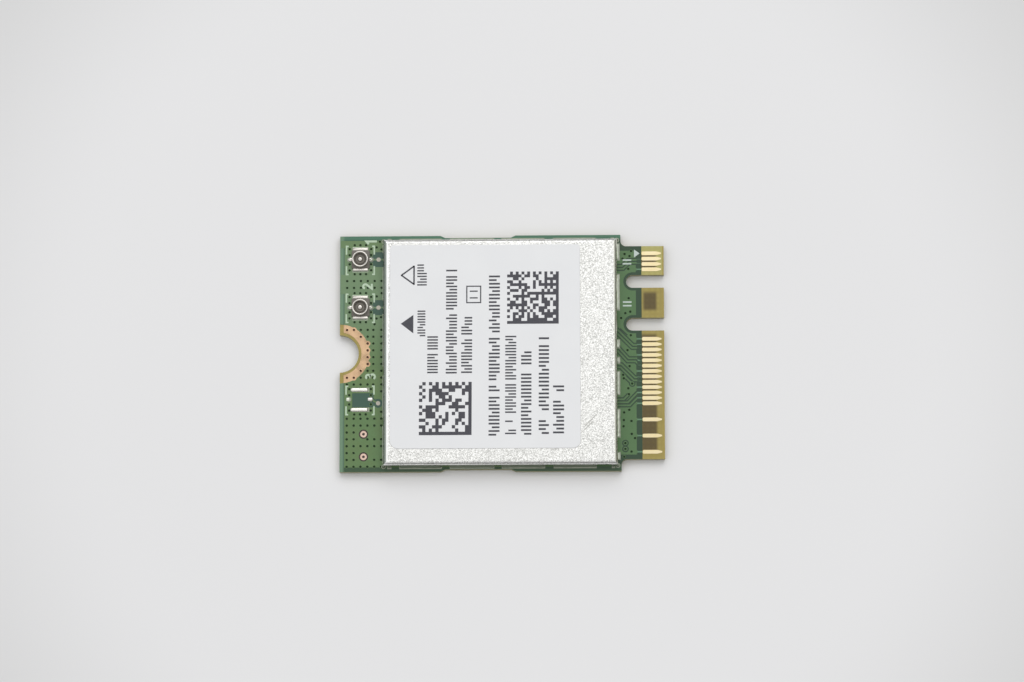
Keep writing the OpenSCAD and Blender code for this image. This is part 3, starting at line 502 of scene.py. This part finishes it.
def stroke(line, width, low, high):
    """Flat stroke of one width along a line of points, with mitred joints."""
    half = width / 2
    left, right = [], []
    for i, point in enumerate(line):
        here = Vector(point)
        before = (here - Vector(line[i - 1])).normalized() if i else None
        after = (Vector(line[i + 1]) - here).normalized() if i + 1 < len(line) else None
        way = ((before or after) + (after or before)).normalized()
        normal = Vector((-way.y, way.x))
        ahead = after or before
        reach = half / max(0.4, normal.dot(Vector((-ahead.y, ahead.x))))
        left.append(tuple(here + normal * reach))
        right.append(tuple(here - normal * reach))
    shapes = []
    for i in range(len(line) - 1):
        shapes.append(prism([right[i], right[i + 1], left[i + 1], left[i]], low, high))
    return shapes


def arc(cx, cy, r, start_deg, end_deg, steps=10):
    angles = [math.radians(start_deg + (end_deg - start_deg) * i / steps) for i in range(steps + 1)]
    return [(cx + r * math.cos(a), cy + r * math.sin(a)) for a in angles]


# %% [markdown]
# ## Label
#
# The label is die-cut film with round corners. It is replaced by a piece with a fine rounded edge,
# a little lower than the solid, so that the print on top ends at the solid's own height.

# %% Cut the label
LABEL_X, LABEL_Y = -1.52, 0.46
LABEL_L, LABEL_W = 17.56, 18.94
LABEL_CORNERS = (0.3, 0.35, 0.8, 0.7)
LABEL_LOW, LABEL_TOP, PRINT_TOP = 2.1, 2.172, 2.178


def round_rectangle(cx, cy, l, w, radii, steps=10):
    points = []
    for sx, sy, a, r in zip((1, -1, -1, 1), (1, 1, -1, -1), (0, 90, 180, 270), radii):
        points += arc(cx + sx * (l / 2 - r), cy + sy * (w / 2 - r), r, a, a + 90, steps)
    return points


rings = []
for inset, z in ((0, LABEL_LOW), (0, LABEL_TOP - 0.03), (0.009, LABEL_TOP - 0.009), (0.03, LABEL_TOP)):
    radii = [r - inset for r in LABEL_CORNERS]
    line = round_rectangle(LABEL_X, LABEL_Y, LABEL_L - 2 * inset, LABEL_W - 2 * inset, radii)
    rings.append([(*p, z) for p in line])
count = len(rings[0])
top_ring = len(rings) - 1
label_points = [p for r in rings for p in r]
label_faces = []
for j in range(top_ring):
    for i in range(count):
        n = (i + 1) % count
        label_faces.append([j * count + i, j * count + n, (j + 1) * count + n, (j + 1) * count + i])
label_faces += [[top_ring * count + i for i in range(count)], list(range(count))[::-1]]
piece("label_film", [(label_points, label_faces)], film, replaces=["shield_label"])

# %% [markdown]
# ## Print on the label
#
# The real label carries words, which aren't copied. Their rows keep their place and tone as rows of
# plain upright ticks. The two square codes become checkers worked out by a formula, with the solid
# and dotted borders that such codes have. The two triangles mark the sockets and stay as they are.

# %% Lay out the print
PRINT_X, PRINT_Y = -1.6, 0.55
# From this v on the print drifts sideways and falls short, by these shares of the way along
PRINT_START, PRINT_SLANT, PRINT_SHRINK = -8.3, 0.0045, 0.0072


def on_label(outline):
    """Places print on the film, where it lies a trifle aslant."""
    placed = []
    for u, v in outline:
        run = v - PRINT_START
        placed.append((PRINT_X + u + PRINT_SLANT * run, PRINT_Y + v - PRINT_SHRINK * run))
    return placed


def printed(outline):
    return prism(on_label(outline), LABEL_TOP, PRINT_TOP)


def tick_row(u0, u1, v0, v1, weight, seed):
    """A row of uprights between u0 and u1, read along v: full and short ones, in groups."""
    count = round((v1 - v0 - weight) / (2.02 * weight))
    pitch = (v1 - v0 - weight) / count
    shapes = []
    for i in range(count + 1):
        spread = noise.cell(Vector((seed * 7.3 + 0.5, i * 1.7 + 0.5, 0.5)))
        if spread < -0.8 and 0 < i < count:
            continue
        short = 0.3 * (u1 - u0)
        top = u0 + (short if 0.3 < spread < 0.65 else 0)
        foot = u1 - (short if spread > 0.65 else 0)
        v = v0 + i * pitch
        shapes.append(printed(rectangle(top, foot, v, v + weight)))
    return shapes


rows = [
    (-6.24, -5.36, 5.70, 7.69, 0.13), (-6.20, -5.47, 0.93, 3.35, 0.13), (-5.28, -4.30, -2.53, 0.93, 0.14),
    (-3.57, -2.55, -2.57, 7.17, 0.15), (-2.15, -1.15, -2.53, 2.72, 0.15), (0.39, 1.40, -8.39, 6.60, 0.17),
    (1.91, 2.92, -8.26, 0.93, 0.14), (3.37, 4.33, -8.32, -0.54, 0.17), (5.00, 5.94, -8.26, 0.77, 0.18),
    (6.32, 7.33, -8.21, -3.74, 0.18),
]
print_shapes = []
for seed, (u0, u1, v0, v1, weight) in enumerate(rows):
    print_shapes += tick_row(u0, u1, v0, v1, weight, seed)


# %% Draw the two codes, the frame and the triangles
def checker(u0, u1, v0, v1, modules, seed):
    """Square code that says nothing: solid on two sides, dotted on the others, a formula inside."""
    du, dv = (u1 - u0) / modules, (v1 - v0) / modules
    shapes = []
    for j in range(modules):
        run = None
        for i in range(modules + 1):
            if i == modules:
                on = False
            elif j == 0 or i == modules - 1:
                on = True
            elif j == modules - 1 or i == 0:
                on = (i + j) % 2 == 0
            else:
                on = noise.cell(Vector((i + 0.5, j + 0.5, seed + 0.5))) > -0.06
            if on and run is None:
                run = i
            if not on and run is not None:
                bar = rectangle(u0 + run * du, u0 + i * du, v0 + j * dv, v0 + (j + 1) * dv)
                shapes.append(printed(bar))
                run = None
    return shapes


print_shapes += checker(-6.02, -1.17, -8.32, -3.36, 16, 3)
print_shapes += checker(2.07, 6.83, 2.05, 6.96, 18, 8)
print_shapes.append(printed([(-7.74, 2.12), (-6.58, 1.21), (-6.58, 2.95)]))
open_triangle = [(-7.70, 6.67), (-6.54, 5.82), (-6.54, 7.53)]
open_line = [open_triangle[0], open_triangle[1], open_triangle[2], open_triangle[0]]
for a, b in zip(open_line, open_line[1:]):
    shift = (Vector(b) - Vector(a)).normalized() * 0.04
    ends = on_label([tuple(Vector(a) - shift), tuple(Vector(b) + shift)])
    print_shapes += stroke(ends, 0.14, LABEL_TOP, PRINT_TOP)
frame_bars = [
    (-1.71, -1.60, 4.01, 5.66), (-0.43, -0.32, 4.01, 5.66), (-1.60, -0.43, 4.01, 4.12),
    (-1.60, -0.43, 5.55, 5.66), (-1.38, -0.65, 4.45, 4.57), (-1.38, -0.65, 5.08, 5.20),
]
for outline in frame_bars:
    print_shapes.append(printed(rectangle(*outline)))
piece("label_print", print_shapes, ink)

# %% [markdown]
# ## Legend on the board
#
# White ink marks the three socket places with corner brackets and the plain numbers 1 to 3, and a
# small triangle points to the first contact. The digits are drawn as strokes on their own little
# grid, turned a quarter to the left as on the real board. Two key marks that are letters on the real
# board are plain bars here.

# %% Print the legend
INK_LOW, INK_HIGH = 0.848, 0.862
SOCKET_X = -13.12
SOCKET_Y = (8.81, 4.31, -4.29)
# The screen was laid on 0.06 mm low, so the brackets sit low round their sockets
legend_shapes = []
for y in [y - 0.06 for y in SOCKET_Y]:
    for sx in (-1, 1):
        for sy in (-1, 1):
            corner = (SOCKET_X + sx * 1.29, y + sy * 1.32)
            line = [(corner[0] - sx * 0.2, corner[1]), corner, (corner[0], corner[1] - sy * 0.78)]
            legend_shapes += stroke(line, 0.14, INK_LOW, INK_HIGH)
one = [(-0.2, 0.27), (0.06, 0.485), (0.06, -0.485)]
two = arc(0, 0.2, 0.2, 165, -40, 12) + [(-0.21, -0.4), (0.25, -0.4)]
three = arc(-0.02, 0.21, 0.19, 150, -90, 12) + arc(-0.02, -0.2, 0.22, 90, -150, 12)[1:]
for glyph, (cx, cy) in ((one, (-12.08, 10.46)), (two, (-12.45, 6.3)), (three, (-12.17, -2.13))):
    legend_shapes += stroke([(cx - gy, cy + gx) for gx, gy in glyph], 0.19, INK_LOW, INK_HIGH)
legend_shapes.append(prism([(12.26, 8.87), (12.77, 9.24), (12.26, 9.61)], 0.828, INK_HIGH))
for y in (8.45, 4.52):
    for shift in (-0.17, 0.17):
        bar = rectangle(11.2, 12.0, y + shift - 0.07, y + shift + 0.07)
        legend_shapes.append(prism(bar, INK_LOW, INK_HIGH))
piece("board_legend", legend_shapes, legend)

# %% [markdown]
# ## Via holes
#
# Nearly two hundred plated holes tie the copper layers together, on a grid and as fences round the
# socket places. Each is 0.24 mm wide and plugged just below the film, and reads as a dark dot. The
# dots repeat the holes of the solids: a thin rim that closes the film's edge, and a shallow well
# inside it, painted dark, partly as painted shade of the hole.

# %% Sink the via holes
PITCH = 0.637
NOTCH = Vector((-15, 0))
TEST_X, TEST_Y = -12.79, (-7.49, -9.59)


def near_place(p, y, reach_x, reach_y):
    """True on a socket place or on the feed line that leaves it."""
    dy = abs(p.y - y)
    return abs(p.x - SOCKET_X) < reach_x and dy < reach_y or dy < 0.62 and p.x > SOCKET_X


def keeps_clear(p):
    """True where the board has a via: not at the notch, a socket, its feed line or a test ring."""
    if (p - NOTCH).length < 2.2 or abs(p.y) > 10.58:
        return False
    if any(near_place(p, y, 2.2, 1.75) for y in SOCKET_Y[:2]) or near_place(p, SOCKET_Y[2], 1.45, 1.35):
        return False
    for y, row in zip(TEST_Y, (-7.3, -9.2)):
        if (p - Vector((TEST_X, y))).length < 0.58 or abs(p.y - row) < 0.3 and p.x > TEST_X - 0.58:
            return False
    return True


def grid_place(i, k):
    """The grid, with the fifth column nearer the notch and the rows between the sockets higher."""
    x, y = -14.34 + PITCH * i, PITCH * (k + 0.5)
    return Vector((x - (0.11 if i == 4 and abs(y) < 3 else 0), y + (0.12 if k >= 9 else 0)))


grid = [grid_place(i, k) for i in range(6) for k in range(-17, 17)]
grid = [p for p in grid if keeps_clear(p)]
fence = [Vector((SOCKET_X + side, y + dy))
         for y in SOCKET_Y for side in (-1, 1) for dy in (-1, -0.43, 0.43, 1)]
fence += [Vector((SOCKET_X + dx, y + end))
          for y in SOCKET_Y for end in (-1.36, 1.36) for dx in (-0.53, 0, 0.53) if y > 0 or end < 0]
single = [
    (-11.61, 9.96), (-11.31, 10.49), (-11.16, 9.76), (-11.59, 5.36), (-11.14, 5.66), (-11.61, 3.29),
    (-11.19, 3.41), (-11.79, 2.76), (11.38, 9.19), (11.84, 9), (11.19, 8.76), (11.98, 9.47),
    (11.72, 7.8), (11.74, 5.05), (11.42, 3.66), (11.88, 3.8), (11.92, 1.59), (11.6, 0.2),
    (11.79, -1.29), (11.19, -2.09), (11.25, -2.42), (11.66, -3.35), (11.71, -3.9), (11.74, -5.35),
    (11.26, -5.59), (11.23, -6.3), (11.93, -6.39), (11.2, -6.88), (11.95, -7.59), (12.25, -7.98),
    (11.92, -9.23), (11.24, -9.7), (11.03, 3.2), (12.02, -2.91), (11.36, -8.44), (11.36, -8.98),
]
board_vias = [p for p in grid if (p - NOTCH).length > 2.86] + fence + [Vector(p) for p in single]
pad_vias = [p for p in grid if (p - NOTCH).length <= 2.86]
# A rim that would cross the edge of the pad is left out
inner_vias = [p for p in pad_vias if (p - NOTCH).length < 2.6]


def rims(points, low, top):
    line = [(0.12, low), (0.152, top), (0.138, top + 0.004), (0.12, top + 0.001), (0.11, top - 0.012),
            (0.108, low)]
    return [turned(line, p, 16) for p in points]


def plugs(points, low, top):
    line = [(0.111, low), (0.109, top), (0.07, top - 0.006), (0.02, top - 0.009)]
    return [turned(line, p, 16, closed=False) for p in points]


piece("via_rims", rims(board_vias, 0.83, 0.851), mask, smooth=True)
piece("pad_via_rims", rims(inner_vias, 0.81, 0.8355), copper, smooth=True)
piece("via_plugs", plugs(board_vias, 0.802, 0.836), well)
piece("pad_via_plugs", plugs(pad_vias, 0.802, 0.822), tarnish)
print(len(board_vias), "vias under the film and", len(pad_vias), "in the bare pad")

# %% [markdown]
# ## Antenna sockets
#
# Each socket is a drawn ring of plated brass, 1.5 mm across, that a plug presses over, on a square
# moulding with two soldered feet. A groove round the ring holds the plug. Rings are turned from a
# profile, because a lathe form is exactly how a drawn ring looks, and they replace the plainer
# solids.

# %% Turn the sockets
DECK = 0.85
for number, y in enumerate(SOCKET_Y[:2], 1):
    at = (SOCKET_X, y)
    ring_line = [(0.58, 0.1), (0.75, 0.1), (0.75, 0.2), (0.715, 0.26), (0.715, 0.33), (0.75, 0.4),
                 (0.75, 0.54), (0.74, 0.575), (0.718, 0.595), (0.68, 0.6), (0.642, 0.595),
                 (0.612, 0.575), (0.59, 0.53), (0.58, 0.5)]
    shell = [turned([(r, DECK + z) for r, z in ring_line], at, 72)]
    for side in (-1, 1):
        near, far = sorted((y + side * 0.84, y + side * 1.06))
        shell.append(block(SOCKET_X - 0.68, SOCKET_X + 0.7, near, far, DECK, DECK + 0.17, 0.05))
    shell.append(block(SOCKET_X - 1.02, SOCKET_X - 0.7, y - 0.15, y + 0.15, DECK, DECK + 0.17, 0.03))
    piece(f"socket_{number}_ring", shell, brass, smooth=True,
          replaces=[f"receptacle_{number}_shell"])
    body = [block(SOCKET_X - 0.8, SOCKET_X + 0.875, y - 0.825, y + 0.825, DECK, DECK + 0.2, 0.03)]
    collar = [(0.43, 0.19), (0.43, 0.29), (0.4, 0.32), (0.24, 0.32), (0.21, 0.3), (0.21, 0.19)]
    body.append(turned([(r, DECK + z) for r, z in collar], at, 48))
    piece(f"socket_{number}_moulding", body, polymer, smooth=True,
          replaces=[f"receptacle_{number}_insulator"])
    post = [(0.21, 0.01), (0.21, 0.38), (0.2, 0.43), (0.165, 0.465), (0.11, 0.478), (0.05, 0.48)]
    pin = [turned([(r, DECK + z) for r, z in post], at, 40, closed=False)]
    pin.append(block(SOCKET_X + 0.2, SOCKET_X + 1.05, y - 0.15, y + 0.15, DECK, DECK + 0.07, 0.02))
    piece(f"socket_{number}_pin", pin, brass, smooth=True,
          replaces=[f"receptacle_{number}_pin"])

# %% [markdown]
# ## Solder along the can
#
# Paste melts and wets the feet of the can, so every fillet has its own reach and swell. Each one is
# a hollow curve between the land and the wall, swept along the foot. Noise varies its reach and its
# height, and both fade at the ends.

# %% Flow the solder
CAN_X, CAN_L, CAN_W = -0.13, 21.6, 21.0
feet_right = [(-10, -9.26), (-7.92, -5.25), (-3.98, -1.74), (-1.06, -0.42), (0.36, 1.22), (3.9, 7.34),
              (8.59, 10.2)]
feet_left = [(-10.2, -6.73), (-5.98, -2.06), (-1.22, 3.72), (4.98, 8.11), (9.41, 10.2)]
feet_long = [(-10.6, -10.21), (-9.48, -5.55), (-4.83, -0.71), (-0.03, 3.97), (4.75, 8.71), (10.1, 10.4)]


def fillet(start_at, way, out, length, seed, wide=0.2):
    """Solder swept from a point along a wall; way is along it and out is away from it."""
    steps = max(6, round(length / 0.1))
    turns = 6
    points, faces = [], []
    for i in range(steps + 1):
        s = length * i / steps
        edge = min(s, length - s)
        fade = math.sqrt(max(0.0, 1 - max(0.0, 1 - edge / 0.16) ** 2)) * 0.98 + 0.02
        rough = noise.noise(Vector((s * 1.3, seed * 3.1, 0)))
        ripple = noise.noise(Vector((s * 4.0, seed * 1.7, 5)))
        reach = fade * wide * (1 + 0.25 * rough + 0.1 * ripple)
        height = fade * (0.11 + 0.04 * rough + 0.02 * ripple)
        swell = 0.6 + 0.3 * ripple
        here = start_at + way * s
        for k in range(turns + 1):
            a = math.pi / 2 * k / turns
            hollow = (1 - math.sin(a), 1 - math.cos(a))
            full = (math.cos(a), math.sin(a))
            d = reach * (hollow[0] * (1 - swell) + full[0] * swell)
            z = height * (hollow[1] * (1 - swell) + full[1] * swell)
            points.append((here.x + out.x * d, here.y + out.y * d, DECK + z))
        points.append((here.x, here.y, DECK))
    per = turns + 2
    flip = way.x * out.y - way.y * out.x < 0
    for i in range(steps):
        for k in range(per):
            n = (k + 1) % per
            face = [i * per + k, (i + 1) * per + k, (i + 1) * per + n, i * per + n]
            faces.append(face[::-1] if flip else face)
    first, last = list(range(per)), [steps * per + k for k in range(per)]
    faces += [first[::-1] if flip else first, last if flip else last[::-1]]
    return points, faces


def mound(x, y, radius, height):
    """Blob of solder with an uneven round outline."""
    angles = [math.pi / 2 * k / 6 for k in range(6)]
    profile = [(radius * math.cos(a), height * math.sin(a)) for a in angles]
    points, faces = turned([(r, DECK + z) for r, z in profile], (x, y), 24, closed=False)
    bumpy = []
    for px, py, pz in points:
        swell = 1 + 0.18 * noise.noise(Vector((px * 3.7, py * 3.7, x)))
        bumpy.append((x + (px - x) * swell, y + (py - y) * swell, pz))
    return bumpy, faces


shapes, seed = [], 1
for x, feet, out, wide in ((CAN_X + CAN_L / 2, feet_right, 1, 0.22),
                           (CAN_X - CAN_L / 2, feet_left, -1, 0.11)):
    for a, b in feet:
        shapes.append(fillet(Vector((x, a)), Vector((0, 1)), Vector((out, 0)), b - a, seed, wide))
        seed += 1
for y in (-CAN_W / 2, CAN_W / 2):
    away = Vector((0, 1 if y > 0 else -1))
    for a, b in feet_long:
        shapes.append(fillet(Vector((a, y)), Vector((1, 0)), away, b - a, seed, 0.15))
        seed += 1
for sx in (-1, 1):
    for sy in (-1, 1):
        shapes.append(mound(CAN_X + sx * CAN_L / 2, sy * CAN_W / 2, 0.15, 0.2))
piece("can_solder_fillets", shapes, matt_solder, smooth=True, replaces=["shield_solder"])

# %% [markdown]
# ## Solder at the empty place
#
# Where no socket was fitted the paste still melted. It drew itself into two low pillows on the long
# lands, a little thicker at their ends, and two drops on the short ones.

# %% Flow the solder of the empty place


def pillow(cx, cy, length, width, height, waist=0.0):
    """Low drop of solder on a long land: each level is the outline drawn in a little more."""
    count, levels = 40, 6
    points, faces = [], []
    for j in range(levels):
        a = math.pi / 2 * j / levels
        grow = math.cos(a)
        for i in range(count):
            t = 2 * math.pi * i / count
            c, n = math.cos(t), math.sin(t)
            u = math.copysign(abs(c) ** 0.45, c)
            v = math.copysign(abs(n) ** 0.6, n) * (1 - waist * (1 - u * u))
            uneven = 1 + 0.06 * noise.noise(Vector((cx + u * 2, cy + v, 3)))
            reach = length / 2 - width / 2 * (1 - grow)
            points.append((cx + u * reach * uneven, cy + v * width / 2 * grow * uneven,
                           DECK + height * math.sin(a)))
    for j in range(levels - 1):
        for i in range(count):
            n = (i + 1) % count
            faces.append([j * count + i, j * count + n, (j + 1) * count + n, (j + 1) * count + i])
    faces += [[(levels - 1) * count + i for i in range(count)], list(range(count))[::-1]]
    return points, faces


SPARE_X = -13.2
spare = [pillow(SPARE_X, SOCKET_Y[2] + side * 0.93, 1.62, 0.44, 0.09, 0.2) for side in (-1, 1)]
spare.append(pillow(SPARE_X + 1.02, SOCKET_Y[2] + 0.04, 0.5, 0.34, 0.09))
piece("empty_place_solder", spare, solder, smooth=True, replaces=["spare_socket_solder"])
thin_dot = [pillow(SPARE_X - 1.04, SOCKET_Y[2] + 0.04, 0.32, 0.34, 0.04)]
piece("empty_place_thin_dot", thin_dot, matt_solder, smooth=True)

# %% [markdown]
# ## Table and light
#
# The card lies on a plain pale table. The photograph has one broad light beyond the far long side,
# and a pale room. The sky is bright all round above, a little darker straight overhead, where the
# photographer stood, and dim at the horizon, less so on the left and on the near side, so flat metal
# looks bright and the folds of the can look dark. Painted shade darkens the paper away from the card.
# A large soft lamp beyond the card gives the faint shadow on the near side.

# %% Lay the table
table_mesh = bpy.data.meshes.new("table")
half = 3.0
corners = [(-half, -half, 0), (half, -half, 0), (half, half, 0), (-half, half, 0)]
table_mesh.from_pydata(corners, [], [[0, 1, 2, 3]])
table = bpy.data.objects.new("table", table_mesh)
table.location.z = -0.02 * MM
bpy.context.scene.collection.objects.link(table)
paper, tree, surface, place = start("pale_table", Roughness=0.7, IOR=1.45)
pale = mix(tree, grain(tree, place, 60, 2), "#E2E2E2", "#E5E5E5")
away = add(tree, "VectorMath", {0: place}, operation="LENGTH").outputs["Value"]
# Painted shade: the paper darkens away from the card, where the light falls off
pale = mix(tree, step(tree, away, 38 * MM, 68 * MM), pale, "#CFCFCE")
tree.links.new(pale, surface.inputs["Base Color"])
relief(tree, surface, grain(tree, place, 0.4, 3), 0.003, 0.2)
table_mesh.materials.append(paper)

# %% Light the room
world = bpy.data.worlds.new("room")
bpy.context.scene.world = world
world.use_nodes = True
sky = world.node_tree
way = add(sky, "TexCoord").outputs["Generated"]
toward = add(sky, "SeparateXYZ", {0: way}).outputs
low_sky = mix(sky, step(sky, toward[0], 0.2, -0.6), "#3C3C3D", "#A0A0AA")
low_sky = mix(sky, step(sky, toward[1], -0.3, -0.9), low_sky, "#909090")
# The bright dome leans 12 degrees beyond the card
dome = add(sky, "VectorMath", {0: way, 1: (0, 0.21, 0.978)}, operation="DOT_PRODUCT").outputs["Value"]
tone = mix(sky, step(sky, dome, 0.32, 0.87), low_sky, "#FFFFFF")
tone = mix(sky, step(sky, toward[2], 0.95, 0.99), tone, "#C6C6C8")
sky.links.new(tone, sky.nodes["Background"].inputs["Color"])
sky.nodes["Background"].inputs["Strength"].default_value = 1.2

lamp_data = bpy.data.lights.new("softbox", "AREA")
lamp_data.shape = "RECTANGLE"
lamp_data.size = 0.7
lamp_data.size_y = 0.5
lamp_data.energy = 1.62
lamp = bpy.data.objects.new("softbox", lamp_data)
lamp.location = (0.12, 0.42, 0.62)
lamp.rotation_mode = "QUATERNION"
lamp.rotation_quaternion = (-lamp.location).to_track_quat("-Z", "Y")
bpy.context.scene.collection.objects.link(lamp)
bpy.context.scene.view_settings.view_transform = "Standard"
print("light set")
